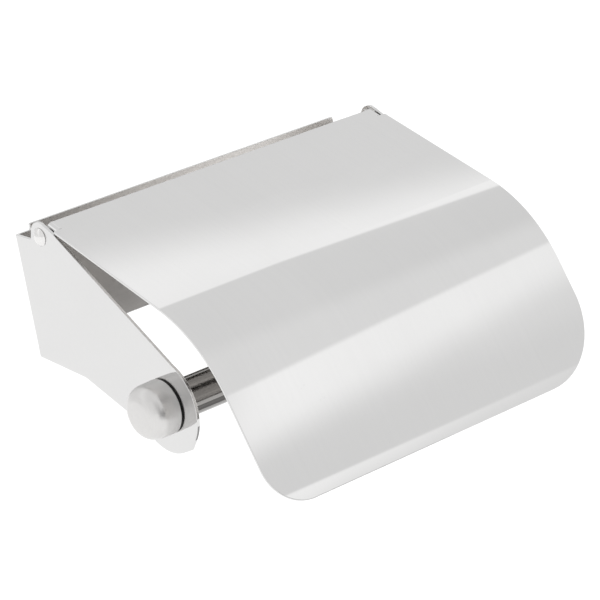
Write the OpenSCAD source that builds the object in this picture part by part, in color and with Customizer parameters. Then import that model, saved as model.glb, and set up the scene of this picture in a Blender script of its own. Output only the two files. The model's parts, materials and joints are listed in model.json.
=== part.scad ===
// Wall-mounted toilet paper holder: a folded sheet bracket, a hinged curved lid and a roller
// rod that is held between the arms by a screwed knob at each end.
// X runs across the holder, the wall is the plane Y = 0 with the holder on its -Y side, Z is up.
// The origin lies on the wall face, midway between the two fixing holes.
// Side outlines are drawn as [reach, z], where reach is the distance out from the wall.

/* [Bracket] */
// Width over the outer faces of the two arms
body_w = 135; // [115:1:170]
// Thickness of the bracket sheet
sheet_t = 1.0; // [0.8:0.1:1.4]
// Inside radius of the folds between back plate and arms
fold_r = 0.4; // [0.2:0.1:1]
// Height of the raised middle of the back plate
plate_h = 38; // [32:1:50]
// Step from the raised middle down to the shoulders at its two ends
plate_step = 2.0; // [0:0.5:4]
// Length of each low shoulder, from the outer face of the arm
shoulder_w = 5.8; // [3:0.1:12]
// How far the arms hang below the back plate along the wall
arm_drop = 3.0; // [1:0.5:8]
// Distance between the two fixing holes
fix_pitch = 60; // [50:1:100]
// Diameter of the fixing holes
fix_hole_d = 5; // [3:0.5:7]

/* [Arms] */
// Distance of the roller rod's axis from the wall
rod_reach = 62; // [55:0.5:75]
// Distance of the roller rod's axis below the fixing holes
rod_drop = 29.8; // [25:0.5:40]
// Radius of the round arm end about the rod's axis
arm_end_r = 14.8; // [12:0.1:18]
// Reach of the corner in the arm's lower edge
kink_reach = 23.6; // [15:0.1:30]
// Fall of the arm's lower edge from the wall to that corner
kink_fall = 4.0; // [1:0.1:8]
// Slope of the lower edge beyond that corner, in degrees
lower_slope = 24.5; // [20:0.5:30]
// Radius of the hollow blend between the lower edge and the round end
blend_r = 20; // [10:1:25]
// Height of the small corner that stands out of the lower front of the round end
nib_h = 0.6; // [0:0.1:1.2]

/* [Hinge] */
// Distance of the lid's hinge axis from the wall
hinge_reach = 14.1; // [12:0.1:20]
// Height of the hinge axis above the arm's top corner at the wall
hinge_rise = 0.5; // [0:0.1:4]
// Radius of the ear about the hinge axis
ear_r = 4.65; // [4:0.05:6]
// Reach of the notch behind the ear
notch_reach = 8.8; // [7:0.1:10]
// Depth of that notch below the arm's top corner
notch_drop = 0.7; // [0:0.1:2]
// Diameter of the hinge rivet's shank
rivet_d = 3; // [2:0.1:4]
// Diameter of the rivet's domed head
rivet_head_d = 6; // [5:0.1:7]
// Height of the rivet's domed head
rivet_head_h = 1.6; // [1:0.1:2.5]
// Diameter of the rivet's peened tail
rivet_tail_d = 4.6; // [4:0.1:6]
// Height of the peened tail
rivet_tail_h = 0.8; // [0.5:0.1:1.5]
// Thickness of the washer between ear and lid
hinge_washer_t = 0.5; // [0.3:0.1:1]
// Diameter of that washer
hinge_washer_d = 6.8; // [5:0.1:8]

/* [Lid] */
// Distance of the lid's side edges in from the outer faces of the arms
lid_inset = 0.4; // [0:0.1:0.8]
// Thickness of the lid sheet
lid_t = 0.8; // [0.6:0.1:1.2]
// Slope of the lid's flat part when it is shut, in degrees
lid_slope = 22.6; // [15:0.1:30]
// Height of the lid's upper face above the hinge axis, square to the flat part
lid_offset = 4.85; // [4.5:0.05:8]
// Distance of the lid's back edge in front of the hinge axis
lid_back = 1.0; // [0:0.1:3]
// Distance from the hinge axis to the start of the curve
lid_flat_end = 55.6; // [40:0.1:70]
// Outer radius of the curve
lid_bend_r = 48.3; // [30:0.1:70]
// Angle through which the lid curves, in degrees
lid_bend_angle = 42.1; // [20:0.1:60]
// Length of the straight front flap
flap_len = 36; // [25:0.1:50]
// Corner radius at the left of the flap
corner_left_r = 13; // [5:0.5:25]
// Corner radius at the right of the flap
corner_right_r = 24.5; // [5:0.5:28]
// Distance from the hinge axis to the lid's shoulders, which rest on the arms
lid_shoulder = 5.7; // [5.4:0.1:9]
// Width of the slit between each hinge tab's fold and the shoulder
slit_w = 0.3; // [0.3:0.1:1]
// Outside radius of the fold between lid and hinge tab
tab_fold_r = 1.6; // [1.4:0.1:2]
// Radius of the tab's eye about the hinge axis
tab_eye_r = 3.7; // [3:0.1:4.5]
// Reach of the tab's heel in front of the hinge axis
tab_heel = 9; // [6:0.5:10]
// Depth of the tab's heel below the hinge axis
tab_heel_drop = 2.4; // [1:0.1:4]

/* [Roller] */
// Outer diameter of the roller tube
rod_d = 12; // [10:0.1:15]
// Wall thickness of the roller tube
rod_wall = 0.8; // [0.5:0.1:1.5]
// Length of the threaded plug in each end of the tube
plug_len = 12; // [8:0.5:20]
// Diameter of the screw that joins knob and plug
stud_d = 3.9; // [3:0.1:5]
// Length of the screw inside the plug
stud_in_plug = 9; // [5:0.5:12]
// Length of the screw inside the knob
stud_in_knob = 6; // [4:0.5:7]
// Diameter of the knob at its base
knob_d = 17; // [16:0.1:22]
// Length of the knob
knob_len = 9.8; // [9.2:0.1:20]
// Radius of the knob's rounded outer edge
knob_edge_r = 4.8; // [1:0.1:5]
// Crown radius of the knob's outer face
knob_crown_r = 40; // [25:1:100]
// Draught of the knob's side towards its outer face, in degrees
knob_draught = 1.5; // [0:0.1:4]
// Thickness of the washer between arm and knob
knob_washer_t = 0.4; // [0.3:0.1:1.5]
// Diameter of that washer
knob_washer_d = 15.8; // [15:0.1:17]

/* [Fits] */
// Radial play of the rivet in the lid's tab, and of the screw in the plug
pin_play = 0.05; // [0.02:0.01:0.1]
// Radial play of the roller tube in the arms and in the knob washers
rod_play = 0.25; // [0.1:0.05:0.5]
// Side play between faces that turn or slide past each other
side_play = 0.05; // [0.02:0.01:0.2]

/* [Hidden] */
$fn = 96;
steel = [0.86, 0.86, 0.85];
satin = [0.76, 0.75, 0.74];
dark_steel = [0.42, 0.42, 0.43];
zinc = [0.66, 0.67, 0.69];
black = [0.12, 0.12, 0.12];
nylon = [0.85, 0.85, 0.82];
// Overshoot of cutting shapes past the faces that they cut
eps = 1;
// Overlap of outlines that meet along a tangent, so that they cross instead of only touching
bite = 0.01;

half_w = body_w / 2;
arm_in = half_w - sheet_t;
bend_out = fold_r + sheet_t;
plate_top = plate_h / 2;
plate_foot = -plate_h / 2;
arm_top = plate_top - plate_step;
arm_foot = plate_foot - arm_drop;
kink = [kink_reach, arm_foot - kink_fall];
rod_at = [rod_reach, -rod_drop];
hinge_at = [hinge_reach, arm_top + hinge_rise];
notch_at = [notch_reach, arm_top - notch_drop];

lid_w = body_w - 2 * lid_inset;
tab_x = arm_in - hinge_washer_t - 2 * side_play;
rivet_shank = half_w - tab_x + lid_t + side_play;

knob_base = half_w + knob_washer_t + 2 * side_play;
tube_end = knob_base;
stud_start = tube_end - stud_in_plug;

// Point where the tangent from point p touches the circle of radius r about c.
// side is 1 or -1 and picks one of the two tangents.
function tangent_point(c, r, p, side) =
    let (d = p - c, a = atan2(d[1], d[0]), b = acos(r / norm(d)))
    c + r * [cos(a + side * b), sin(a + side * b)];

// Unit vector at angle a
function heading(a) = [cos(a), sin(a)];

// The upper sloping edge starts where the shut lid's shoulders rest on it
rest_local = [lid_shoulder, lid_offset - lid_t - side_play];
rest_at = hinge_at + [
    rest_local[0] * cos(lid_slope) + rest_local[1] * sin(lid_slope),
    -rest_local[0] * sin(lid_slope) + rest_local[1] * cos(lid_slope)];
// It ends on the round end, at this angle up from straight out of the wall
slope_end_angle = 61;
slope_end = rod_at + arm_end_r * heading(slope_end_angle);

// The hollow blend touches the lower edge on one side and the round end on the other
lower_dir = heading(-lower_slope);
lower_normal = heading(-90 - lower_slope);
blend_off = (rod_at - kink) * lower_normal;
blend_along = (rod_at - kink) * lower_dir
    - sqrt(pow(arm_end_r + blend_r, 2) - pow(blend_r - blend_off, 2));
blend_at = kink + blend_along * lower_dir + blend_r * lower_normal;
blend_foot = kink + blend_along * lower_dir;
blend_touch = rod_at + arm_end_r * (blend_at - rod_at) / norm(blend_at - rod_at);

// The nib is a corner drawn out from the round end, centred on this angle
nib_angle = -55;
nib_spread = 16;
nib_root_r = arm_end_r - 0.1;

// Turns a [reach, z] outline into a plate of thickness t whose +X face is at x
module across(x, t) {
    translate([x, 0, 0])
        rotate([90, 0, -90])
            linear_extrude(t)
                children();
}

// Puts children on both sides, the right one as drawn and the left one mirrored
module both_sides() {
    children();
    mirror([1, 0, 0])
        children();
}

module arm_outline() {
    ear_back = tangent_point(hinge_at, ear_r - bite, notch_at, -1);
    ear_front = tangent_point(hinge_at, ear_r - bite, rest_at, 1);
    difference() {
        union() {
            polygon([
                [0, arm_foot],
                [0, arm_top],
                notch_at,
                ear_back,
                hinge_at,
                ear_front,
                rest_at,
                slope_end,
                rod_at,
                blend_touch,
                blend_at,
                blend_foot,
                kink
            ]);
            translate(hinge_at)
                circle(ear_r);
            translate(rod_at)
                circle(arm_end_r);
            if (nib_h > 0)
                polygon([
                    rod_at,
                    rod_at + nib_root_r * heading(nib_angle - nib_spread),
                    rod_at + (arm_end_r + nib_h) * heading(nib_angle),
                    rod_at + nib_root_r * heading(nib_angle + nib_spread)
                ]);
        }
        translate(blend_at)
            circle(blend_r + bite);
        translate(hinge_at)
            circle(d = rivet_d);
        translate(rod_at)
            circle(rod_d / 2 + rod_play);
    }
}

module arm_right() {
    difference() {
        across(half_w, sheet_t)
            arm_outline();
        translate([arm_in - eps, -bend_out, plate_foot])
            cube([sheet_t + 2 * eps, bend_out + eps, arm_top - plate_foot + eps]);
    }
    translate([half_w - bend_out, -bend_out, plate_foot])
        rotate_extrude(angle = 90)
            translate([fold_r, 0])
                square([sheet_t, arm_top - plate_foot]);
}

module back_plate() {
    difference() {
        union() {
            translate([-half_w + bend_out, -sheet_t, plate_foot])
                cube([body_w - 2 * bend_out, sheet_t, arm_top - plate_foot]);
            translate([-half_w + shoulder_w, -sheet_t, plate_foot])
                cube([body_w - 2 * shoulder_w, sheet_t, plate_h]);
        }
        for (side = [-1, 1])
            translate([side * fix_pitch / 2, eps, 0])
                rotate([90, 0, 0])
                    cylinder(h = sheet_t + 2 * eps, d = fix_hole_d);
    }
}

module bracket() {
    color(steel) {
        back_plate();
        both_sides()
            arm_right();
    }
}

// Side outline of the lid beyond its shoulders, with the hinge axis at the origin
module lid_outline() {
    translate([lid_shoulder, lid_offset - lid_t])
        square([lid_flat_end - lid_shoulder, lid_t]);
    translate([lid_flat_end, lid_offset - lid_bend_r]) {
        rotate(-lid_bend_angle)
            translate([0, lid_bend_r - lid_t])
                square([flap_len, lid_t]);
        intersection() {
            difference() {
                circle(lid_bend_r, $fn = 180);
                circle(lid_bend_r - lid_t, $fn = 180);
            }
            square(2 * lid_bend_r);
            rotate(-lid_bend_angle)
                translate([-2 * lid_bend_r, 0])
                    square(2 * lid_bend_r);
        }
    }
}

// Cuts one front corner of the flap to radius r; side is 1 at the right and -1 at the left
module flap_corner(side, r) {
    translate([side * (lid_w / 2 - r), r - flap_len, lid_bend_r - lid_t - eps])
        difference() {
            translate([side > 0 ? 0 : -r - eps, -r - eps, 0])
                cube([r + eps, r + eps, lid_t + 2 * eps]);
            cylinder(h = lid_t + 2 * eps, r = r);
        }
}

module hinge_tab() {
    fold_end = lid_shoulder - slit_w;
    fold_foot = lid_offset - tab_fold_r;
    heel_foot = [tab_heel - 1.8, -tab_heel_drop];
    fold_back = [lid_back, fold_foot];
    eye_back = norm(fold_back) > tab_eye_r
        ? tangent_point([0, 0], tab_eye_r - bite, fold_back, 1)
        : fold_back;
    across(tab_x, lid_t)
        difference() {
            union() {
                circle(tab_eye_r);
                polygon([
                    fold_back,
                    [fold_end, fold_foot],
                    [fold_end, 1.6],
                    [tab_heel, 1.2],
                    [tab_heel, -0.6],
                    heel_foot,
                    tangent_point([0, 0], tab_eye_r - bite, heel_foot, -1),
                    [0, 0],
                    eye_back
                ]);
            }
            circle(rivet_d / 2 + pin_play);
        }
    translate([tab_x - tab_fold_r, -lid_back, fold_foot])
        rotate([90, 0, 0])
            rotate_extrude(angle = 90)
                translate([tab_fold_r - lid_t, 0])
                    square([lid_t, fold_end - lid_back]);
}

module lid() {
    color(steel)
        translate([0, -hinge_at[0], hinge_at[1]])
            rotate([lid_slope, 0, 0]) {
                difference() {
                    across(lid_w / 2, lid_w)
                        lid_outline();
                    translate([0, -lid_flat_end, lid_offset - lid_bend_r])
                        rotate([lid_bend_angle, 0, 0]) {
                            flap_corner(-1, corner_left_r);
                            flap_corner(1, corner_right_r);
                        }
                }
                across(tab_x - tab_fold_r, 2 * (tab_x - tab_fold_r))
                    translate([lid_back, lid_offset - lid_t])
                        square([lid_shoulder + eps - lid_back, lid_t]);
                both_sides()
                    hinge_tab();
            }
}

// Moves a piece drawn along +Z from the middle plane onto the axis at [reach, z], side 1 or -1
module on_axis(at, side) {
    translate([0, -at[0], at[1]])
        rotate([0, side * 90, 0])
            children();
}

module dome(d, h) {
    crown = (d * d / 4 + h * h) / (2 * h);
    intersection() {
        translate([0, 0, h - crown])
            sphere(crown);
        cylinder(h = h, d = d);
    }
}

module hinge_rivet(side) {
    color(satin)
        on_axis(hinge_at, side)
            translate([0, 0, half_w]) {
                dome(rivet_head_d, rivet_head_h);
                translate([0, 0, -rivet_shank])
                    cylinder(h = rivet_shank, d = rivet_d);
                translate([0, 0, -rivet_shank])
                    mirror([0, 0, 1])
                        dome(rivet_tail_d, rivet_tail_h);
            }
}

// A flat ring from height z0 upwards
module ring(z0, t, d_out, d_in) {
    translate([0, 0, z0])
        difference() {
            cylinder(h = t, d = d_out);
            translate([0, 0, -eps])
                cylinder(h = t + 2 * eps, d = d_in);
        }
}

module hinge_washer(side) {
    color(nylon)
        on_axis(hinge_at, side)
            ring(arm_in - side_play - hinge_washer_t, hinge_washer_t, hinge_washer_d,
                rivet_d + 2 * pin_play);
}

module roller_tube() {
    color(dark_steel)
        on_axis(rod_at, 1)
            ring(-tube_end, 2 * tube_end, rod_d, rod_d - 2 * rod_wall);
}

module tube_plug(side) {
    color(zinc)
        on_axis(rod_at, side)
            ring(tube_end - plug_len, plug_len, rod_d - 2 * rod_wall, stud_d + 2 * pin_play);
}

module knob_profile() {
    face_r = knob_d / 2 - knob_len * tan(knob_draught);
    edge_at = [face_r - knob_edge_r, knob_len - knob_edge_r];
    intersection() {
        union() {
            polygon([
                [0, 0],
                [knob_d / 2, 0],
                edge_at + knob_edge_r * heading(knob_draught),
                edge_at,
                [0, edge_at[1]]
            ]);
            square([edge_at[0], knob_len]);
            translate(edge_at)
                intersection() {
                    circle(knob_edge_r);
                    square(knob_edge_r);
                }
            translate([0, edge_at[1]])
                square([edge_at[0], knob_edge_r]);
        }
        translate([0, knob_len - knob_crown_r])
            circle(knob_crown_r, $fn = 360);
    }
}

module knob(side) {
    color(satin)
        on_axis(rod_at, side)
            translate([0, 0, knob_base])
                difference() {
                    rotate_extrude()
                        intersection() {
                            knob_profile();
                            square([knob_d, knob_len]);
                        }
                    translate([0, 0, -eps])
                        cylinder(h = stud_in_knob + eps, d = stud_d);
                }
}

module knob_screw(side) {
    color(zinc)
        on_axis(rod_at, side)
            translate([0, 0, stud_start])
                cylinder(h = stud_in_plug + stud_in_knob, d = stud_d);
}

module knob_washer(side) {
    color(black)
        on_axis(rod_at, side)
            ring(half_w + side_play, knob_washer_t, knob_washer_d, rod_d + 2 * rod_play);
}

bracket();
lid();
hinge_rivet(-1);  // hinge_rivet_left
hinge_rivet(1);  // hinge_rivet_right
hinge_washer(-1);  // hinge_washer_left
hinge_washer(1);  // hinge_washer_right
roller_tube();
tube_plug(-1);  // tube_plug_left
tube_plug(1);  // tube_plug_right
knob(-1);  // knob_left
knob(1);  // knob_right
knob_screw(-1);  // knob_screw_left
knob_screw(1);  // knob_screw_right
knob_washer(-1);  // knob_washer_left
knob_washer(1);  // knob_washer_right
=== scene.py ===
"""Toilet paper holder of polished stainless sheet: a folded bracket, a hinged lid and a roller rod.

Lengths are written in millimetres and turned into metres where a mesh is made. X runs across the
holder, the wall is the plane Y = 0 with the holder on its -Y side, and Z is up.
"""
import json
import math

import bpy
from mathutils import Matrix, Vector
from mathutils.geometry import delaunay_2d_cdt


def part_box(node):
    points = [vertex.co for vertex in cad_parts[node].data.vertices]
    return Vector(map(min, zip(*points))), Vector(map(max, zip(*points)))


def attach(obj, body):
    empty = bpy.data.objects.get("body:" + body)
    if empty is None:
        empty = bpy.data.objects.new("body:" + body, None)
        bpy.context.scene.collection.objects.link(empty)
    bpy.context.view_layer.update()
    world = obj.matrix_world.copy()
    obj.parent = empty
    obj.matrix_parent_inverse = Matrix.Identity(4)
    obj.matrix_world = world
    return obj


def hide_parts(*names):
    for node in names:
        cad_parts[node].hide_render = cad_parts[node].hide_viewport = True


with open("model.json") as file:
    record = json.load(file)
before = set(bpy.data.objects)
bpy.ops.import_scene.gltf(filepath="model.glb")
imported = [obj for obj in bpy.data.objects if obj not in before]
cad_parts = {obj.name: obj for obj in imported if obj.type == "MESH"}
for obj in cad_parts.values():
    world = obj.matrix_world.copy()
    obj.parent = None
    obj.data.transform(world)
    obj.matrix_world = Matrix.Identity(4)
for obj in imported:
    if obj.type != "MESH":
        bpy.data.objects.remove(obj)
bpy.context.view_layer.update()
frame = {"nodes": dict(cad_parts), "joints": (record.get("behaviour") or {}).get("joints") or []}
MM = 0.001


def node_box(node):
    """Lowest and highest corner of a node of the frame, in millimetres."""
    low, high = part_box(node)
    return Vector(low) / MM, Vector(high) / MM


def joint_at(name):
    """[reach, z] of a joint's axis, in millimetres; reach is the distance out from the wall."""
    for joint in frame["joints"]:
        if joint["name"] == name:
            _, y, z = joint["pos_m"]
            return -y / MM, z / MM
    raise ValueError(name)


# ---------------------------------------------------------------- sizes, in millimetres

# Pairs are [reach, z]: the distance out from the wall, and the height.
HINGE = joint_at("lid_hinge")
ROD = joint_at("rod_spin")
PLAY = 0.05             # between pieces that move on each other
EDGE_R = 0.16           # on the cut edges of the sheets

BODY_W = node_box("bracket")[1].x * 2
SHEET_T = 1.0
BRACKET_FOLD_R = 0.4
PLATE_H = 38.0
PLATE_STEP = 2.0        # from the plate's top down to its shoulders
SHOULDER_W = 5.8
RELIEF = 0.06           # slit that frees an arm's foot from the fold
ARM_DROP = 3.0          # how far an arm goes on below the plate at the wall
ARM_BACK = 0.9          # from the wall to that part's back edge
FIX_PITCH = 60.0
FIX_HOLE_R = 2.5
ARM_END_R = 14.8
KINK = (23.6, -26.0)    # corner in the arm's lower edge
LOWER_SLOPE = 24.5      # of the lower edge beyond that corner, in degrees
BLEND_R = 20.0          # hollow between the lower edge and the round end
NIB_H = 0.6             # blunt nib on the round end
NIB_ANGLE = -55.0
NIB_SPREAD = 16.0
EAR_R = 4.65
NOTCH = (8.8, 16.3)     # foot of the ear, towards the wall
SLOPE_END_ANGLE = 61.0  # where the sloping edge meets the round end
ROD_HOLE_R = 6.25
RIVET_R = 1.5
RIVET_HOLE_R = 1.52

# q is measured along the lid's sheet from the hinge axis, as the flat part lies.
LID_W = node_box("lid")[1].x * 2
LID_T = 0.8
LID_SLOPE = 22.6
LID_OFFSET = 4.85       # from the hinge axis up to the flat part's top
LID_BACK = 1.0          # q of the back edge
LID_FLAT_END = 55.6     # q where the bend begins
LID_BEND_R = 48.3
LID_BEND_ANGLE = 42.1
FLAP_LEN = 36.0
CORNER_LEFT_R = 13.0
CORNER_RIGHT_R = 24.5
LIP_LEN = 5.2           # the free edge lifts over this length
LIP_RUN = 2.0           # and takes this much of it to turn
LIP_LIFT = 0.9          # through these degrees
LID_SHOULDER = 5.7      # q where the full width begins and the lid rests on the arms
LID_SLIT = 0.12         # between a tab and the shoulder
TAB_FOLD_R = 1.6
TAB_X = 65.9
TAB_EYE_R = 3.7
TAB_HOLE_R = 1.55
TAB_HEEL = 9.0          # q of the tab's front end
TAB_HEEL_DROP = 2.4     # from the hinge axis down to that end's foot

RIVET_HEAD = (3.0, 1.6)     # radius and height
RIVET_TAIL = (2.3, 0.8)

KNOB_BASE = node_box("knob_right")[0].x
KNOB_LEN = node_box("knob_right")[1].x - KNOB_BASE
KNOB_R = (node_box("knob_right")[1].z - node_box("knob_right")[0].z) / 2
TUBE_END = node_box("roller_tube")[1].x
TUBE_R = (node_box("roller_tube")[1].z - node_box("roller_tube")[0].z) / 2
TUBE_WALL = 0.8
HINGE_WASHER_R = 3.4
HINGE_WASHER_T = 0.5
KNOB_WASHER_R = 7.9
KNOB_CROWN_R = 40.0
KNOB_EDGE_R = 4.8
KNOB_DRAUGHT = 1.5
KNOB_BORE = (2.0, 5.9)      # radius and depth

SIDES = {-1: "left", 1: "right"}


# ---------------------------------------------------------------- outlines

def heading(degrees):
    """Unit vector at an angle."""
    return Vector((math.cos(math.radians(degrees)), math.sin(math.radians(degrees))))


def right_of(direction):
    """The direction turned a quarter to the right."""
    return Vector((direction.y, -direction.x))


def arc(centre, radius, start, end, steps):
    """Smooth outline points along an arc, ends included; the angles are in degrees."""
    points = []
    for i in range(steps + 1):
        p = Vector(centre) + radius * heading(start + (end - start) * i / steps)
        points.append((p.x, p.y, 0.0))
    return points


def tangent_angle(centre, radius, point, side):
    """Angle, in degrees, of the point where the tangent from a point touches a circle."""
    d = Vector(point) - Vector(centre)
    return math.degrees(math.atan2(d.y, d.x) + side * math.acos(radius / d.length))


def outline(corners, closed=True, steps=5):
    """Turns (x, y, round) corners into points with normals that point to the right of the way.

    A corner with a round becomes an arc of that radius. One without is a point on a smooth run
    and takes the mean of the two normals beside it.
    """
    points = []
    count = len(corners)
    for i, (x, y, radius) in enumerate(corners):
        here = Vector((x, y))
        before = Vector(corners[i - 1][:2]) if closed or i else None
        after = Vector(corners[(i + 1) % count][:2]) if closed or i < count - 1 else None
        way_in = (here - before).normalized() if before else (after - here).normalized()
        way_out = (after - here).normalized() if after else way_in
        turn = math.atan2(way_in.cross(way_out), way_in.dot(way_out))
        if radius <= 0 or abs(turn) < 1e-4:
            points.append((here, (right_of(way_in) + right_of(way_out)).normalized()))
            continue
        bulge = 1 if turn > 0 else -1
        start = here - way_in * radius * math.tan(abs(turn) / 2)
        centre = start - bulge * radius * right_of(way_in)
        arc_steps = max(2, round(steps * abs(turn) / (math.pi / 2)))
        for k in range(arc_steps + 1):
            normal = right_of(way_in)
            normal.rotate(Matrix.Rotation(turn * k / arc_steps, 2))
            points.append((centre + bulge * radius * normal, normal))
    return points


def ring(centre, radius, steps=48):
    """A hole's outline, with its normals pointing into the hole."""
    return [(Vector(centre) + radius * heading(-360 * i / steps), -heading(-360 * i / steps))
            for i in range(steps)]


def inside(point, loops):
    """True if a point lies in the loops by the even-odd rule."""
    odd = False
    for loop in loops:
        for i, b in enumerate(loop):
            a = loop[i - 1]
            if (a.y > point.y) != (b.y > point.y):
                if point.x < a.x + (b.x - a.x) * (point.y - a.y) / (b.y - a.y):
                    odd = not odd
    return odd


# ---------------------------------------------------------------- meshes

def mesh_piece(name, vertices, normals, faces):
    """A smooth mesh whose vertices, in millimetres, carry the given normals."""
    mesh = bpy.data.meshes.new(name)
    mesh.from_pydata([[c * MM for c in v] for v in vertices], [], faces)
    mesh.validate()
    mesh.update()
    backwards = sum(1 for p in mesh.polygons
                    if p.normal.dot(sum((Vector(normals[v]) for v in p.vertices), Vector())) < 0)
    if backwards > len(mesh.polygons) / 2:
        mesh.flip_normals()
    mesh.shade_smooth()
    mesh.normals_split_custom_set_from_vertices([tuple(n) for n in normals])
    piece = bpy.data.objects.new(name, mesh)
    bpy.context.collection.objects.link(piece)
    return piece


def laid_out(groups, start=0):
    """Each group of points with its first point's number, as they are laid end to end."""
    for group in groups:
        yield start, group
        start += len(group)


def sheet(name, loops, cuts, rows, thickness, edge_r, fold, inner_front, inside_x, edge_steps=3):
    """A folded sheet with rounded cut edges.

    loops are outlines in the flat blank, cuts are (axis, value, low, high) lines from edge to
    edge along which it bends, rows are lines of points inside the blank for bends that stop
    short of the edge, and fold takes a blank point to its place, its frame's two directions
    and the sheet's normal there. The inner face, the one the normals point to if inner_front is
    True, takes the second material where |x| < inside_x.
    """
    half = thickness / 2
    layers = []
    for i in range(edge_steps + 1):
        angle = math.pi / 2 * i / edge_steps
        layers.append((edge_r * (1 - math.sin(angle)), half - edge_r * (1 - math.cos(angle)),
                       math.sin(angle), math.cos(angle)))
    layers += [(inset, -height, out, -up) for inset, height, out, up in reversed(layers)]

    vertices, normals, faces, first = [], [], [], []
    for inset, height, out, up in layers:
        first.append(len(vertices))
        for loop in loops:
            for point, normal in loop:
                place, frame_x, frame_y, frame_n = fold(point - inset * normal)
                vertices.append(place + height * frame_n)
                normals.append((out * (normal.x * frame_x + normal.y * frame_y)
                                + up * frame_n).normalized())
    for start, loop in laid_out(loops):
        for i in range(len(loop)):
            a, b = start + i, start + (i + 1) % len(loop)
            for low, high in zip(first, first[1:]):
                faces.append((low + a, high + a, high + b, low + b))

    rims = [[point - edge_r * normal for point, normal in loop] for loop in loops]
    flat = [point for rim in rims for point in rim]
    within = [point for row in rows for point in row]
    count, extra = len(flat), len(vertices)
    for sign in (1, -1):
        for point in within:
            place, _, _, frame_n = fold(point)
            vertices.append(place + sign * half * frame_n)
            normals.append(sign * frame_n)

    edges = []
    for start, loop in laid_out(loops):
        edges += [(start + i, start + (i + 1) % len(loop)) for i in range(len(loop))]
    for axis, value, low, high in cuts:
        along = 1 - axis
        on_line = sorted((p[along], i) for i, p in enumerate(flat)
                         if abs(p[axis] - value) < 1e-4 and low <= p[along] <= high)
        edges += [(a[1], b[1]) for a, b in zip(on_line, on_line[1:])]
    for start, row in laid_out(rows, count):
        edges += [(start + i, start + i + 1) for i in range(len(row) - 1)]
    points, _, triangles, origin, _, _ = delaunay_2d_cdt(flat + within, edges, [], 0, 1e-5)

    fronts = []
    front = list(range(count)) + [extra + i for i in range(len(within))]
    back = [first[-1] + i for i in range(count)]
    back += [extra + len(within) + i for i in range(len(within))]
    for triangle in triangles:
        middle = sum((points[i] for i in triangle), Vector((0, 0))) / 3
        if inside(middle, rims):
            a, b, c = (origin[i][0] for i in triangle)
            faces.append((back[c], back[b], back[a]))
            fronts.append((front[a], front[b], front[c]))

    piece = mesh_piece(name, vertices, normals, faces + fronts)
    start = len(faces) if inner_front else len(faces) - len(fronts)
    for face in piece.data.polygons[start:start + len(fronts)]:
        if abs(face.center.x) < inside_x * MM:
            face.material_index = 1
    return piece


def turned(name, corners, at, side, steps=96, closed=False, arc_steps=6):
    """A lathe piece about the axis at [reach, z]. corners are (distance along X, radius, round)."""
    profile = outline(corners, closed, arc_steps)
    vertices, normals, faces = [], [], []
    for i in range(steps):
        angle = 2 * math.pi * i / steps
        out = Vector((0, math.cos(angle), math.sin(angle)))
        for point, normal in profile:
            vertices.append(Vector((side * point.x, -at[0], at[1])) + point.y * out)
            normals.append(Vector((side * normal.x, 0, 0)) + normal.y * out)
    count = len(profile)
    for i in range(steps):
        a, b = i * count, (i + 1) % steps * count
        for k in range(count if closed else count - 1):
            n = (k + 1) % count
            if profile[k][0].y < 1e-6 and profile[n][0].y < 1e-6:
                continue
            faces.append((a + k, a + n, b + n, b + k))
    return mesh_piece(name, vertices, normals, faces)


# ---------------------------------------------------------------- folds

def fold_bracket(point):
    """Blank point (s along the sheet, z) to its place; the normal faces the paper roll."""
    side = -1 if point.x < 0 else 1
    s, z = abs(point.x), point.y
    z_axis = Vector((0, 0, 1))
    if s <= PLATE_FLAT and z > ARM_FLAP_TOP:
        return Vector((point.x, -SHEET_T / 2, z)), Vector((1, 0, 0)), z_axis, Vector((0, -1, 0))
    turn = min((s - PLATE_FLAT) / BRACKET_MID_R, math.pi / 2)
    if z <= ARM_FLAP_TOP:
        turn = math.pi / 2
    reach = s - ARM_START if turn >= math.pi / 2 - 1e-9 else 0.0
    x = PLATE_FLAT + BRACKET_MID_R * math.sin(turn)
    y = -BRACKET_BEND_OUT + BRACKET_MID_R * math.cos(turn) - reach
    along = Vector((math.cos(turn), -side * math.sin(turn), 0))
    inward = Vector((-side * math.sin(turn), -math.cos(turn), 0))
    return Vector((side * x, y, z)), along, z_axis, inward


def lid_world(x, u, v):
    """Turns a direction given across, along and square to the shut lid's flat part."""
    slope = math.radians(LID_SLOPE)
    reach = u * math.cos(slope) + v * math.sin(slope)
    return Vector((x, -reach, v * math.cos(slope) - u * math.sin(slope)))


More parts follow.
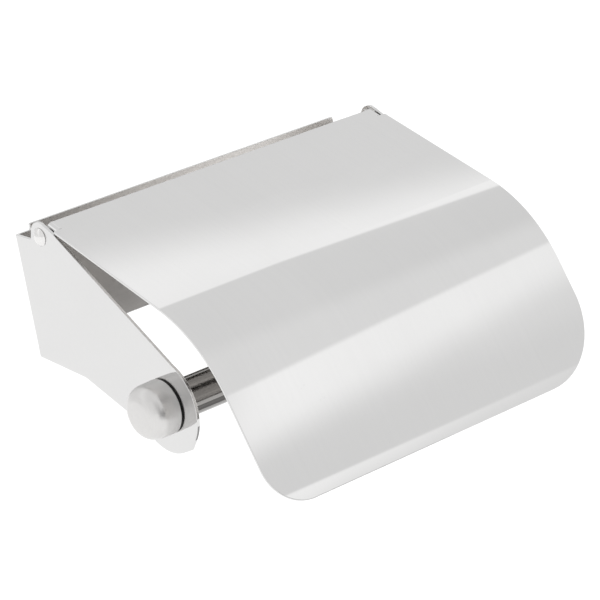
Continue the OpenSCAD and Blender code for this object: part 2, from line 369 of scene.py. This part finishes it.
def fold_lid(point):
    """Blank point (x, q from the hinge) to its place; the normal faces outwards."""
    side = -1 if point.x < 0 else 1
    x, q = abs(point.x), point.y
    middle = LID_OFFSET - LID_T / 2
    in_tab = q < TAB_Q and x > TAB_FLAT or x > LID_W / 2 + 0.3
    if in_tab:
        turn = min((x - TAB_FLAT) / TAB_MID_R, math.pi / 2)
        drop = max(x - TAB_DOWN, 0.0)
        place = (side * (TAB_FLAT + TAB_MID_R * math.sin(turn)), q,
                 middle - TAB_MID_R * (1 - math.cos(turn)) - drop)
        frame_x = (math.cos(turn), 0, -side * math.sin(turn))
        frame_n = (side * math.sin(turn), 0, math.cos(turn))
        return (hinge_place(lid_world(*place)), lid_world(*frame_x), lid_world(0, 1, 0),
                lid_world(*frame_n))
    bend = LID_BEND_R - LID_T / 2
    turn = min(max((q - LID_FLAT_END) / bend, 0.0), math.radians(LID_BEND_ANGLE))
    beyond = max(q - LID_BEND_Q, 0.0)
    u = min(q, LID_FLAT_END) + bend * math.sin(turn) + beyond * math.cos(turn)
    v = middle - bend * (1 - math.cos(turn)) - beyond * math.sin(turn)
    past = max(q - LIP_Q, 0.0)
    lip = math.radians(LIP_LIFT) * smooth(past / LIP_RUN)
    v += past * lip * math.cos(turn) * 0.5
    u += past * lip * math.sin(turn) * 0.5
    turn -= lip
    return (hinge_place(lid_world(point.x, u, v)), Vector((1, 0, 0)),
            lid_world(0, math.cos(turn), -math.sin(turn)),
            lid_world(0, math.sin(turn), math.cos(turn)))


def hinge_place(offset):
    """The point at an offset from the middle of the hinge axis."""
    return Vector((0, -HINGE[0], HINGE[1])) + offset


def smooth(t):
    """0 to 1 with a level start and end."""
    t = min(max(t, 0.0), 1.0)
    return t * t * (3 - 2 * t)


BRACKET_MID_R = BRACKET_FOLD_R + SHEET_T / 2
BRACKET_BEND_OUT = BRACKET_FOLD_R + SHEET_T
PLATE_FLAT = BODY_W / 2 - BRACKET_BEND_OUT
ARM_START = PLATE_FLAT + BRACKET_MID_R * math.pi / 2
PLATE_TOP = PLATE_H / 2
PLATE_FOOT = -PLATE_H / 2
ARM_TOP = PLATE_TOP - PLATE_STEP
ARM_FOOT = PLATE_FOOT - ARM_DROP
ARM_FLAP_TOP = PLATE_FOOT - RELIEF / 2

TAB_MID_R = TAB_FOLD_R - LID_T / 2
TAB_FLAT = TAB_X - TAB_FOLD_R
TAB_DOWN = TAB_FLAT + TAB_MID_R * math.pi / 2
TAB_Q = LID_SHOULDER - LID_SLIT / 2
LID_BEND_Q = LID_FLAT_END + (LID_BEND_R - LID_T / 2) * math.radians(LID_BEND_ANGLE)
LID_END_Q = LID_BEND_Q + FLAP_LEN
LIP_Q = LID_END_Q - LIP_LEN


# ---------------------------------------------------------------- sheet pieces

def both_ways(corners):
    """Right half of an outline, from its lower middle round to its upper middle, made whole."""
    return corners + [(-x, y, r) for x, y, r in reversed(corners)]


def bracket_piece():
    """The folded bracket; shift takes an arm's distance from the wall to its place in the blank."""
    shift = ARM_START - BRACKET_BEND_OUT
    folds = [PLATE_FLAT + (ARM_START - PLATE_FLAT) * i / 6 for i in range(7)]

    down = heading(-LOWER_SLOPE)
    square = heading(-90 - LOWER_SLOPE)
    kink, rod, hinge = Vector(KINK), Vector(ROD), Vector(HINGE)
    off = (rod - kink).dot(square)
    along = (rod - kink).dot(down) - math.sqrt((ARM_END_R + BLEND_R) ** 2 - (BLEND_R - off) ** 2)
    blend = kink + along * down + BLEND_R * square
    touch = math.degrees(math.atan2(*(blend - rod).yx))
    rest = hinge + lid_rest()

    arm = [(shift + ARM_BACK, PLATE_FOOT - RELIEF, 0), (shift + ARM_BACK, ARM_FOOT, 0.3),
           (shift + kink.x, kink.y, 1.5)]
    body = arc(blend, BLEND_R, 90 - LOWER_SLOPE, touch + 180, 14)
    body += arc(rod, ARM_END_R, touch, NIB_ANGLE - NIB_SPREAD, 10)[1:]
    nib = rod + (ARM_END_R + NIB_H) * heading(NIB_ANGLE)
    body += [(nib.x, nib.y, 0.5)]
    body += arc(rod, ARM_END_R, NIB_ANGLE + NIB_SPREAD, SLOPE_END_ANGLE - 3, 36)
    slope_end = rod + ARM_END_R * heading(SLOPE_END_ANGLE)
    body += [(slope_end.x, slope_end.y, 4.0), (rest.x, rest.y, 3.0)]
    body += arc(hinge, EAR_R, tangent_angle(hinge, EAR_R, rest, 1),
                tangent_angle(hinge, EAR_R, NOTCH, -1) % 360, 22)
    body += [(NOTCH[0], NOTCH[1], 0.5)]
    arm += [(shift + x, y, r) for x, y, r in body]
    arm += [(ARM_START + 0.6, ARM_TOP, 0)]

    shoulder = BODY_W / 2 - SHOULDER_W
    right = [(s, PLATE_FOOT, 0) for s in folds] + [(ARM_START + 0.2, PLATE_FOOT, 0)]
    right += [(ARM_START + 0.2, PLATE_FOOT - RELIEF, 0)] + arm
    right += [(s, ARM_TOP, 0) for s in reversed(folds)]
    right += [(shoulder, ARM_TOP, 0.4), (shoulder, PLATE_TOP, 0.5)]

    loops = [outline(both_ways(right))]
    loops += [ring((side * FIX_PITCH / 2, 0), FIX_HOLE_R) for side in (-1, 1)]
    for side in (-1, 1):
        loops.append(ring((side * (shift + rod.x), rod.y), ROD_HOLE_R, 72))
        loops.append(ring((side * (shift + hinge.x), hinge.y), RIVET_HOLE_R))
    cuts = [(0, side * s, ARM_FLAP_TOP, PLATE_TOP) for s in folds for side in (-1, 1)]
    return sheet("bracket_sheet", loops, cuts, [], SHEET_T, EDGE_R, fold_bracket, True, PLATE_FLAT)


def lid_rest():
    """Where the shut lid's shoulder rests on the arm's sloping edge, from the hinge axis."""
    place = lid_world(0, LID_SHOULDER, LID_OFFSET - LID_T - PLAY)
    return Vector((-place.y, place.z))


def lid_piece():
    """The lid, its bend, its lifted free edge and its two folded tabs with an eye each."""
    half = LID_W / 2
    bends = [LID_FLAT_END + (LID_BEND_Q - LID_FLAT_END) * i / 30 for i in range(31)]
    lips = [LIP_Q + LIP_RUN * i / 6 for i in range(7)]
    folds = [TAB_FLAT + (TAB_DOWN - TAB_FLAT) * i / 8 for i in range(9)]
    fold_end = LID_SHOULDER - LID_SLIT
    fold_foot = LID_OFFSET - TAB_FOLD_R

    def tab(u, v, r):
        """Blank corner of a tab from its place beside the hinge axis."""
        return (TAB_DOWN + fold_foot - v, u, r)

    heel = (TAB_HEEL - 1.8, -TAB_HEEL_DROP)
    brow = fold_foot - 0.15
    back = 180 - math.degrees(math.asin(brow / TAB_EYE_R))
    front = tangent_angle((0, 0), TAB_EYE_R, heel, -1)
    right = [(s, LID_BACK, 0) for s in folds] + [tab(LID_BACK, brow, 0.1)]
    right += [tab(x, y, 0) for x, y, _ in arc((0, 0), TAB_EYE_R, back, front + 360, 30)]
    right += [tab(*heel, 0.8), tab(TAB_HEEL, -0.6, 0.8), tab(TAB_HEEL, 1.2, 0.5)]
    right += [tab(fold_end, 1.6, 0.4), tab(fold_end, fold_foot - 0.4, 0)]
    right += [(s, fold_end, 0) for s in reversed(folds)]
    slit_x, slit_r = TAB_FLAT - 0.4, LID_SLIT * 0.4
    right += [(slit_x, fold_end, slit_r), (slit_x, LID_SHOULDER, slit_r)]
    right += [(half, LID_SHOULDER, 0.6)]
    right += [(half, q, 0) for q in bends]

    def corner(radius):
        centre = (half - radius, LID_END_Q - radius)
        return arc(centre, radius, 0, 90, 28)

    def reach_at(q, radius):
        """Half width just inside the rounded edge at q."""
        rise = max(q - (LID_END_Q - radius), 0.0)
        return half - radius + math.sqrt(radius ** 2 - rise ** 2) - EDGE_R - 0.25

    left = [(-x, y, r) for x, y, r in reversed(right + corner(CORNER_LEFT_R))]
    whole = right + corner(CORNER_RIGHT_R) + left
    loops = [outline(whole)]
    for side in (-1, 1):
        loops.append(ring((side * (TAB_DOWN + fold_foot), 0), TAB_HOLE_R))
    cuts = [(0, side * s, LID_BACK - 0.1, fold_end + 0.1) for s in folds for side in (-1, 1)]
    cuts += [(1, q, -half - 0.1, half + 0.1) for q in bends]
    rows = [[Vector((-reach_at(q, CORNER_LEFT_R), q)), Vector((reach_at(q, CORNER_RIGHT_R), q))]
            for q in lips]
    return sheet("lid_sheet", loops, cuts, rows, LID_T, EDGE_R, fold_lid, False, LID_W)


# ---------------------------------------------------------------- turned pieces

def rivet_piece(side):
    """A hinge rivet: domed head outside the ear, shank, and flatter tail inside the tab."""
    (head_r, head_h), (tail_r, tail_h) = RIVET_HEAD, RIVET_TAIL
    under = BODY_W / 2
    tail = TAB_X - LID_T - PLAY
    crown = (head_r ** 2 + head_h ** 2) / (2 * head_h)
    foot = (tail_r ** 2 + tail_h ** 2) / (2 * tail_h)
    reach = math.degrees(math.asin(head_r / crown))
    back = math.degrees(math.asin(tail_r / foot))
    corners = arc((under + head_h - crown, 0), crown, 0, reach - 6, 14)
    corners += [(under + 0.02, head_r, 0.12), (under + 0.02, RIVET_R, 0), (tail, RIVET_R, 0)]
    corners += [(tail, tail_r, 0.1)]
    corners += arc((tail - tail_h + foot, 0), foot, 180 - back + 4, 180, 10)
    return turned("hinge_rivet_" + SIDES[side], corners, HINGE, side, 64)


def knob_piece(side):
    """A knob with a crowned face, a round edge, a slightly tapered side and a blind bore."""
    crown, edge_r = KNOB_CROWN_R, KNOB_EDGE_R
    bore_r, bore_end = KNOB_BORE[0], KNOB_BASE + KNOB_BORE[1]
    edge_out = KNOB_R - (KNOB_LEN - edge_r) * math.tan(math.radians(KNOB_DRAUGHT)) - edge_r
    centre_x = KNOB_LEN - crown
    edge_x = centre_x + math.sqrt((crown - edge_r) ** 2 - edge_out ** 2)
    meet = math.degrees(math.asin(edge_out / (crown - edge_r)))
    corners = arc((KNOB_BASE + centre_x, 0), crown, 0, meet, 8)[:-1]
    corners += arc((KNOB_BASE + edge_x, edge_out), edge_r, meet, 90 - KNOB_DRAUGHT, 18)
    corners += [(KNOB_BASE, KNOB_R, 0.3), (KNOB_BASE, bore_r, 0.1), (bore_end, bore_r, 0)]
    corners += [(bore_end, 0, 0)]
    return turned("knob_" + SIDES[side], corners, ROD, side, 144)


def ring_piece(name, at, side, x_range, r_range, edge, steps=96):
    """A washer or tube with rounded edges."""
    low, high = x_range
    inner, outer = r_range
    corners = [(high, outer, edge), (low, outer, edge), (low, inner, edge), (high, inner, edge)]
    return turned(name, corners, at, side, steps, closed=True, arc_steps=4)


# ---------------------------------------------------------------- shader maths

class Value:
    """A quantity in a node tree, so that shader maths reads as Python expressions."""

    def __init__(self, tree, socket):
        self.tree = tree
        self.socket = socket

    def maths(self, operation, *inputs):
        """A Math node of these inputs."""
        return node(self.tree, "ShaderNodeMath", {"operation": operation}, inputs)

    def __add__(self, other):
        return self.maths("ADD", self, other)

    def __sub__(self, other):
        return self.maths("SUBTRACT", self, other)

    def __rsub__(self, other):
        return self.maths("SUBTRACT", other, self)

    def __mul__(self, other):
        return self.maths("MULTIPLY", self, other)

    def __truediv__(self, other):
        return self.maths("DIVIDE", self, other)

    def __rtruediv__(self, other):
        return self.maths("DIVIDE", other, self)

    def __neg__(self):
        return self.maths("MULTIPLY", self, -1.0)

    def __pow__(self, other):
        return self.maths("POWER", self, other)

    def __abs__(self):
        return self.maths("ABSOLUTE", self)

    __radd__ = __add__
    __rmul__ = __mul__

    def high(self, other):
        return self.maths("MAXIMUM", self, other)

    def rise(self, start, end):
        """0 before start, 1 after end and smooth between; falls where end is below start."""
        if end < start:
            return 1.0 - self.rise(end, start)
        return node(self.tree, "ShaderNodeMapRange", {"interpolation_type": "SMOOTHSTEP"},
                    {"Value": self, "From Min": start, "From Max": end})

    def mix(self, a, b):
        """a where this is 0 and b where it is 1; both are colours."""
        return node(self.tree, "ShaderNodeMix", {"data_type": "RGBA"},
                    {0: self, 6: a, 7: b}, 2)


def node(tree, kind, settings, inputs, out=0):
    """Adds a node: its settings first, then its sockets by place or name."""
    made = tree.nodes.new(kind)
    for key, value in settings.items():
        setattr(made, key, value)
    pairs = inputs.items() if isinstance(inputs, dict) else enumerate(inputs)
    for key, value in pairs:
        if isinstance(value, Value):
            tree.links.new(value.socket, made.inputs[key])
        else:
            made.inputs[key].default_value = value
    return Value(tree, made.outputs[out])


def grey(level, warmth=0.0):
    """A grey colour, redder and less blue by the warmth."""
    return (level * (1 + warmth), level, level * (1 - warmth), 1.0)


class Finish:
    """A material under construction, with its surface coordinates in metres."""

    def __init__(self, name):
        self.material = bpy.data.materials.new(name)
        self.material.use_nodes = True
        self.tree = self.material.node_tree
        self.tree.nodes.clear()
        self.place = node(self.tree, "ShaderNodeTexCoord", {}, {}, 3)
        self.x, self.y, self.z = (node(self.tree, "ShaderNodeSeparateXYZ", {},
                                       {0: self.place}, i) for i in range(3))

    def vector(self, x, y, z):
        return node(self.tree, "ShaderNodeCombineXYZ", {}, (x, y, z))

    def noise(self, place, scale, detail=2.0, roughness=0.5, distortion=0.0):
        return node(self.tree, "ShaderNodeTexNoise", {},
                    {"Vector": place, "Scale": scale, "Detail": detail,
                     "Roughness": roughness, "Distortion": distortion})

    def cells(self, place, scale):
        """Distance to the nearest of scattered points."""
        return node(self.tree, "ShaderNodeTexVoronoi", {}, {"Vector": place, "Scale": scale})

    def bump(self, height):
        """Relief of a height in metres."""
        return node(self.tree, "ShaderNodeBump", {},
                    {"Height": height, "Distance": 1.0, "Strength": 1.0})

    def shade(self, level, tone, warmth=0.0):
        """A grey of the tone, times a level that stays near 1."""
        return level.rise(0.0, 2.0).mix(grey(0.0), grey(2 * tone, warmth))

    def finish(self, **sockets):
        """Ends in a Principled shader; a socket's name is written with _ for each space."""
        inputs = {key.replace("_", " "): value for key, value in sockets.items()}
        shader = node(self.tree, "ShaderNodeBsdfPrincipled", {}, inputs)
        output = self.tree.nodes.new("ShaderNodeOutputMaterial")
        self.tree.links.new(shader.socket, output.inputs[0])
        return self.material


# ---------------------------------------------------------------- finishes

def polished_sheet(name, tone, haze, grain_along, wave):
    """Polished stainless sheet: fine grain, faint haze, tiny pits and a slightly wavy surface."""
    f = Finish(name)
    if grain_along == "x":
        stretched = f.vector(f.x * 0.02, f.y, f.z)
    else:
        stretched = f.vector(f.x, f.y * 0.02, f.z * 0.02)
    grain = f.noise(stretched, 9000, 3.0, 0.6)
    streaks = f.noise(stretched, 900, 4.0, 0.55)
    cloud = f.noise(f.place, 35, 3.0, 0.5)
    smear = f.noise(f.vector(f.x * 0.35, f.y, f.z), 60, 4.0, 0.6, 0.6)
    waves = f.noise(f.place, 22, 1.0, 0.4)
    pits = f.cells(f.place, 700).rise(0.10, 0.04) * f.noise(f.place, 90).rise(0.58, 0.72)
    level = (cloud - 0.5) * 0.03 + (streaks - 0.5) * 0.02 + (1.0 - pits * 0.08)
    colour = f.shade(level, tone, 0.004)
    roughness = haze + smear.rise(0.45, 0.75) * haze * 0.4 + (grain - 0.5) * 0.01
    height = waves * wave + grain * 0.00000012 + streaks * 0.0000004 - pits * 0.000003
    return f.finish(Base_Color=colour, Metallic=1.0, Roughness=roughness,
                    Normal=f.bump(height))


def mill_sheet(name, tone, rough, painted_top_light=False):
    """The inner side of the sheet: matt, with a drawn grain and soft stains. If the last argument
    is
    True, a painted highlight lightens the back plate along its top, more towards the right, and
    calms the grain and stains there."""
    f = Finish(name)
    grain = f.noise(f.vector(f.x * 0.05, f.y, f.z), 2600, 4.0, 0.65)
    stain = f.noise(f.place, 45, 4.0, 0.55)
    dust = f.noise(f.place, 420, 3.0, 0.6)
    calm, painted_light = 1.0, 0.0
    # Painted light: the back plate's top band is lightened, more towards the right, where light
    # falls on it.
    if painted_top_light:
        lit_strip = f.z.rise(0.0125, 0.0155)
        calm = 1.0 - lit_strip * 0.85
        painted_light = lit_strip * (0.05 + 0.90 * f.x.rise(-0.075, 0.0))
    spots = (grain - 0.5) * 0.10 + (stain - 0.5) * 0.10 + (dust - 0.5) * 0.04
    level = 1.0 + spots * calm + painted_light
    colour = f.shade(level, tone, 0.03)
    return f.finish(Base_Color=colour, Metallic=1.0,
                    Roughness=rough + ((stain - 0.5) * 0.12 + (dust - 0.5) * 0.06) * calm,
                    Normal=f.bump((grain * 0.000003 + stain * 0.00002) * calm))


def satin_knob(name):
    """Satin turned steel: rings across the face, rings round the side, faint blotches."""
    f = Finish(name)
    dy, dz = f.y + ROD[0] * MM, f.z - ROD[1] * MM
    radius = (dy * dy + dz * dz) ** 0.5
    tip = KNOB_BASE + KNOB_LEN
    face = abs(f.x).rise((tip - 2.2) * MM, (tip - 0.9) * MM)
    side = abs(f.x).rise((tip - 4.0) * MM, (tip - 5.5) * MM)
    angle = node(f.tree, "ShaderNodeMath", {"operation": "ARCTAN2"}, (dz, dy))
    around = f.vector(f.x, radius, angle * 0.0004)
    rings = f.noise(around, 5200, 3.0, 0.6)
    broad = f.noise(f.vector(f.x, radius, angle * 0.002), 900, 2.0, 0.5)
    spots = f.noise(f.place, 260, 3.0, 0.6)
    level = 1.0 + (rings - 0.5) * 0.08 + (broad - 0.5) * 0.05 + (spots - 0.5) * 0.05
    colour = f.shade(level, 0.64, 0.012)
    roughness = 0.33 + (broad - 0.5) * 0.10 + (spots - 0.5) * 0.06 + face * 0.03 + side * 0.09
    height = rings * 0.0000007 + broad * 0.000003
    return f.finish(Base_Color=colour, Metallic=1.0, Roughness=roughness,
                    Normal=f.bump(height))


def chrome_tube(name):
    """Mirror plating over a drawn tube, streaked along its length, in a dark tone that paints
    shade.
    """
    f = Finish(name)
    draw = f.noise(f.vector(f.x * 0.01, f.y, f.z), 1500, 3.0, 0.6)
    bands = f.noise(f.vector(f.x * 0.004, f.y, f.z), 420, 2.0, 0.5)
    cloud = f.noise(f.vector(f.x * 0.4, f.y, f.z), 120, 3.0, 0.5)
    level = 1.0 + (draw - 0.5) * 0.5 + (bands - 0.5) * 0.7 + (cloud - 0.5) * 0.05
    # Painted shade: the low tone darkens the plating for the shade under the lid that it mirrors.
    colour = f.shade(level, 0.245, 0.03)
    return f.finish(Base_Color=colour, Metallic=1.0, Roughness=0.07 + (cloud - 0.4) * 0.06,
                    Normal=f.bump(draw * 0.0000015 + cloud * 0.000004))


def small_metal(name, tone, rough, scale=500):
    """Plain small hardware: soft blotches and fine scratches."""
    f = Finish(name)
    blotch = f.noise(f.place, scale, 3.0, 0.6)
    scratch = f.noise(f.vector(f.x, f.y * 0.1, f.z), scale * 6, 3.0, 0.7)
    level = 1.0 + (blotch - 0.5) * 0.14 + (scratch - 0.5) * 0.08
    colour = f.shade(level, tone, 0.01)
    return f.finish(Base_Color=colour, Metallic=1.0, Roughness=rough + (blotch - 0.5) * 0.12,
                    Normal=f.bump(blotch * 0.000008 + scratch * 0.000002))


def moulded(name, tone, rough, warmth=0.0):
    """Moulded plastic or rubber with a fine matt grain."""
    f = Finish(name)
    grain = f.noise(f.place, 3500, 2.0, 0.6)
    cloud = f.noise(f.place, 240, 3.0, 0.5)
    level = 1.0 + (cloud - 0.5) * 0.2 + (grain - 0.5) * 0.1
    colour = f.shade(level, tone, warmth)
    return f.finish(Base_Color=colour, Roughness=rough + (cloud - 0.5) * 0.1,
                    Normal=f.bump(grain * 0.000006))


def matt_floor(name, tone):
    """A plain pale floor."""
    f = Finish(name)
    grain = f.noise(f.place, 30, 3.0, 0.5)
    colour = f.shade(1.0 + (grain - 0.5) * 0.01, tone)
    return f.finish(Base_Color=colour, Roughness=0.9, Specular_IOR_Level=0.0)


# ---------------------------------------------------------------- the holder

finishes = {
    "bracket_steel": polished_sheet("bracket_steel", 0.66, 0.045, "x", 0.000012),
    "lid_steel": polished_sheet("lid_steel", 0.66, 0.035, "y", 0.000006),
    # The last argument paints a highlight along the back plate's top.
    "bracket_inside": mill_sheet("bracket_inside", 0.42, 0.32, True),
    "lid_inside": mill_sheet("lid_inside", 0.60, 0.22),
    "rivet_steel": small_metal("rivet_steel", 0.74, 0.20),
    "washer_nylon": moulded("washer_nylon", 0.62, 0.5, 0.03),
    "tube_chrome": chrome_tube("tube_chrome"),
    "plug_zinc": small_metal("plug_zinc", 0.50, 0.42),
    "knob_steel": satin_knob("knob_steel"),
    "screw_steel": small_metal("screw_steel", 0.55, 0.3, 900),
    # Painted shade: the knob washers are near black to darken the gap between each knob and its
    # arm.
    "washer_black": moulded("washer_black", 0.018, 0.55),
}


def fit(piece, stands_for, body, slot):
    """Puts a piece in the place of a node of the frame."""
    piece.data.materials.append(finishes[slot])
    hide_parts(stands_for)
    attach(piece, body)


bracket, lid = bracket_piece(), lid_piece()
fit(bracket, "bracket", "holder", "bracket_steel")
fit(lid, "lid", "lid", "lid_steel")
bracket.data.materials.append(finishes["bracket_inside"])
lid.data.materials.append(finishes["lid_inside"])
ARM_IN = BODY_W / 2 - SHEET_T
for side, where in SIDES.items():
    knob_body = "roller" if side < 0 else "right_knob"
    fit(rivet_piece(side), "hinge_rivet_" + where, "holder", "rivet_steel")
    fit(knob_piece(side), "knob_" + where, knob_body, "knob_steel")
    washer = ring_piece("hinge_washer_" + where + "_ring", HINGE, side,
                        (ARM_IN - HINGE_WASHER_T - PLAY, ARM_IN - PLAY),
                        (TAB_HOLE_R, HINGE_WASHER_R), 0.08, 64)
    fit(washer, "hinge_washer_" + where, "holder", "washer_nylon")
    # A thin washer whose near-black colour paints the shade in the gap between knob and arm.
    washer = ring_piece("knob_washer_" + where + "_ring", ROD, side,
                        (BODY_W / 2 + PLAY, KNOB_BASE - PLAY),
                        (ROD_HOLE_R, KNOB_WASHER_R), 0.1)
    fit(washer, "knob_washer_" + where, where + "_washer", "washer_black")
tube = ring_piece("roller_tube_shell", ROD, 1, (-TUBE_END, TUBE_END),
                  (TUBE_R - TUBE_WALL, TUBE_R), 0.2, 128)
fit(tube, "roller_tube", "roller", "tube_chrome")
for where in SIDES.values():
    for node_name, slot in (("tube_plug_", "plug_zinc"), ("knob_screw_", "screw_steel")):
        mesh = frame["nodes"][node_name + where].data
        mesh.materials.clear()
        mesh.materials.append(finishes[slot])


# ---------------------------------------------------------------- studio

def card(name, centre, width, height, level, faces):
    """A flat card that only reflections see."""
    mesh = bpy.data.meshes.new(name)
    w, h = width / 2, height / 2
    mesh.from_pydata([(-w, -h, 0), (w, -h, 0), (w, h, 0), (-w, h, 0)], [], [(0, 1, 2, 3)])
    made = bpy.data.objects.new(name, mesh)
    bpy.context.collection.objects.link(made)
    made.location = centre
    made.rotation_euler = Vector(faces).to_track_quat("Z", "Y").to_euler()
    finish = bpy.data.materials.new(name)
    finish.use_nodes = True
    finish.node_tree.nodes.clear()
    glow = finish.node_tree.nodes.new("ShaderNodeEmission")
    glow.inputs[0].default_value = grey(1.0)
    glow.inputs[1].default_value = level
    output = finish.node_tree.nodes.new("ShaderNodeOutputMaterial")
    finish.node_tree.links.new(glow.outputs[0], output.inputs[0])
    mesh.materials.append(finish)
    made.visible_camera = False
    made.visible_diffuse = False
    made.visible_shadow = False


def floor_piece(z, size):
    """The floor, a square of this size in metres at this height."""
    mesh = bpy.data.meshes.new("floor")
    s = size / 2
    mesh.from_pydata([(-s, -s, z), (s, -s, z), (s, s, z), (-s, s, z)], [], [(0, 1, 2, 3)])
    floor = bpy.data.objects.new("floor", mesh)
    bpy.context.collection.objects.link(floor)
    mesh.materials.append(matt_floor("floor", 0.86))


def studio_sky():
    """Soft light from all round, in broad bands that lie along X.

    turn is the direction's angle about X, in degrees: 0 is the wall's side, 90 overhead and 180
    the room's side. lean is how far the direction leans to the right.
    """
    world = bpy.data.worlds.new("studio")
    bpy.context.scene.world = world
    world.use_nodes = True
    tree = world.node_tree
    tree.nodes.clear()
    way = node(tree, "ShaderNodeTexCoord", {}, {}, 0)
    x, y, z = (node(tree, "ShaderNodeSeparateXYZ", {}, {0: way}, i) for i in range(3))
    turn = node(tree, "ShaderNodeMath", {"operation": "ARCTAN2"}, (z, y)) * (180 / math.pi)
    lean = x - 0.56

    # A narrow bright band behind, which widens to the right, and a dimmer stretch above it.
    rear = (turn - lean * 12).rise(61.4, 62.7)
    level = 0.955 + 0.305 * rear * (turn - (lean - 0.025).high(0.0) * 130).rise(65.8, 62.8)
    level = level - 0.045 * lean.rise(0.02, 0.12) * turn.rise(66, 80) * turn.rise(125, 105)

    # Brighter towards the front, with a bright slanting band before it steps down.
    level = level + 0.06 * turn.rise(108, 124) - 0.07 * turn.rise(151.05, 152.05)
    front = (turn + lean * 150).rise(147.4, 151.6) * (turn + lean * 10).rise(152.05, 151.05)
    level = level + (0.27 - lean.rise(0.0, 0.12) * 0.05) * front

    # Bright below the horizon, and a dim corner at the front on the left.
    level = level + 0.20 * turn.rise(0.5, -0.5)
    gloom = (-x).rise(0.0, 0.35) * (x + 0.75).rise(0.0, 0.35)
    gloom = gloom * (-y).rise(0.1, 0.5) * z.rise(0.85, 0.6)
    level = level * (1.0 - 0.34 * gloom)

    colour = node(tree, "ShaderNodeCombineXYZ", {}, (level, level, level))
    out = node(tree, "ShaderNodeBackground", {}, {"Color": colour})
    output = tree.nodes.new("ShaderNodeOutputWorld")
    tree.links.new(out.socket, output.inputs[0])


def overhead_sun(strength):
    """Broad even light from above that polished faces don't mirror."""
    data = bpy.data.lights.new("overhead", "SUN")
    data.energy = strength
    data.angle = math.radians(60)
    made = bpy.data.objects.new("overhead", data)
    bpy.context.collection.objects.link(made)
    made.rotation_euler = (math.radians(8), math.radians(-6), 0)
    made.visible_glossy = False


def camera(target, distance, azimuth, elevation, roll, lens, shift):
    """Looks at the target from the given angles, in degrees, rolled about its own axis."""
    data = bpy.data.cameras.new("camera")
    data.lens = lens
    data.sensor_width = 36
    data.shift_x, data.shift_y = shift
    data.clip_start = 0.05
    made = bpy.data.objects.new("camera", data)
    bpy.context.collection.objects.link(made)
    a, e, r = (math.radians(v) for v in (azimuth, elevation, roll))
    back = Vector((math.sin(a) * math.cos(e), -math.cos(a) * math.cos(e), math.sin(e)))
    level_right = Vector((math.cos(a), math.sin(a), 0))
    level_up = back.cross(level_right)
    right = math.cos(r) * level_right - math.sin(r) * level_up
    up = math.sin(r) * level_right + math.cos(r) * level_up
    place = Matrix((right, up, back)).transposed().to_4x4()
    place.translation = Vector(target) * MM + back * distance * MM
    made.matrix_world = place
    bpy.context.scene.camera = made


floor_piece(-0.33, 14.0)
# The first dims the back plate's inside, the second the knob's side and the third its underside.
card("dark_card", (0.18, -0.806, -0.20), 0.57, 0.7, 0.22, (-0.588, 0.764, 0.266))
card("low_card", (-0.10, -0.93, -0.15), 0.75, 0.46, 0.34, (0.1, 0.93, 0.2))
card("under_card", (0.13, -0.13, -0.24), 0.16, 0.16, 0.45, (0, 0, 1))
studio_sky()
overhead_sun(1.25)
camera(target=(5.45, -39.9, -23.2), distance=900, azimuth=-37.555, elevation=15.456, roll=10.2,
       lens=173.6, shift=(-0.002, 0.0025))
bpy.context.scene.view_settings.view_transform = "Standard"
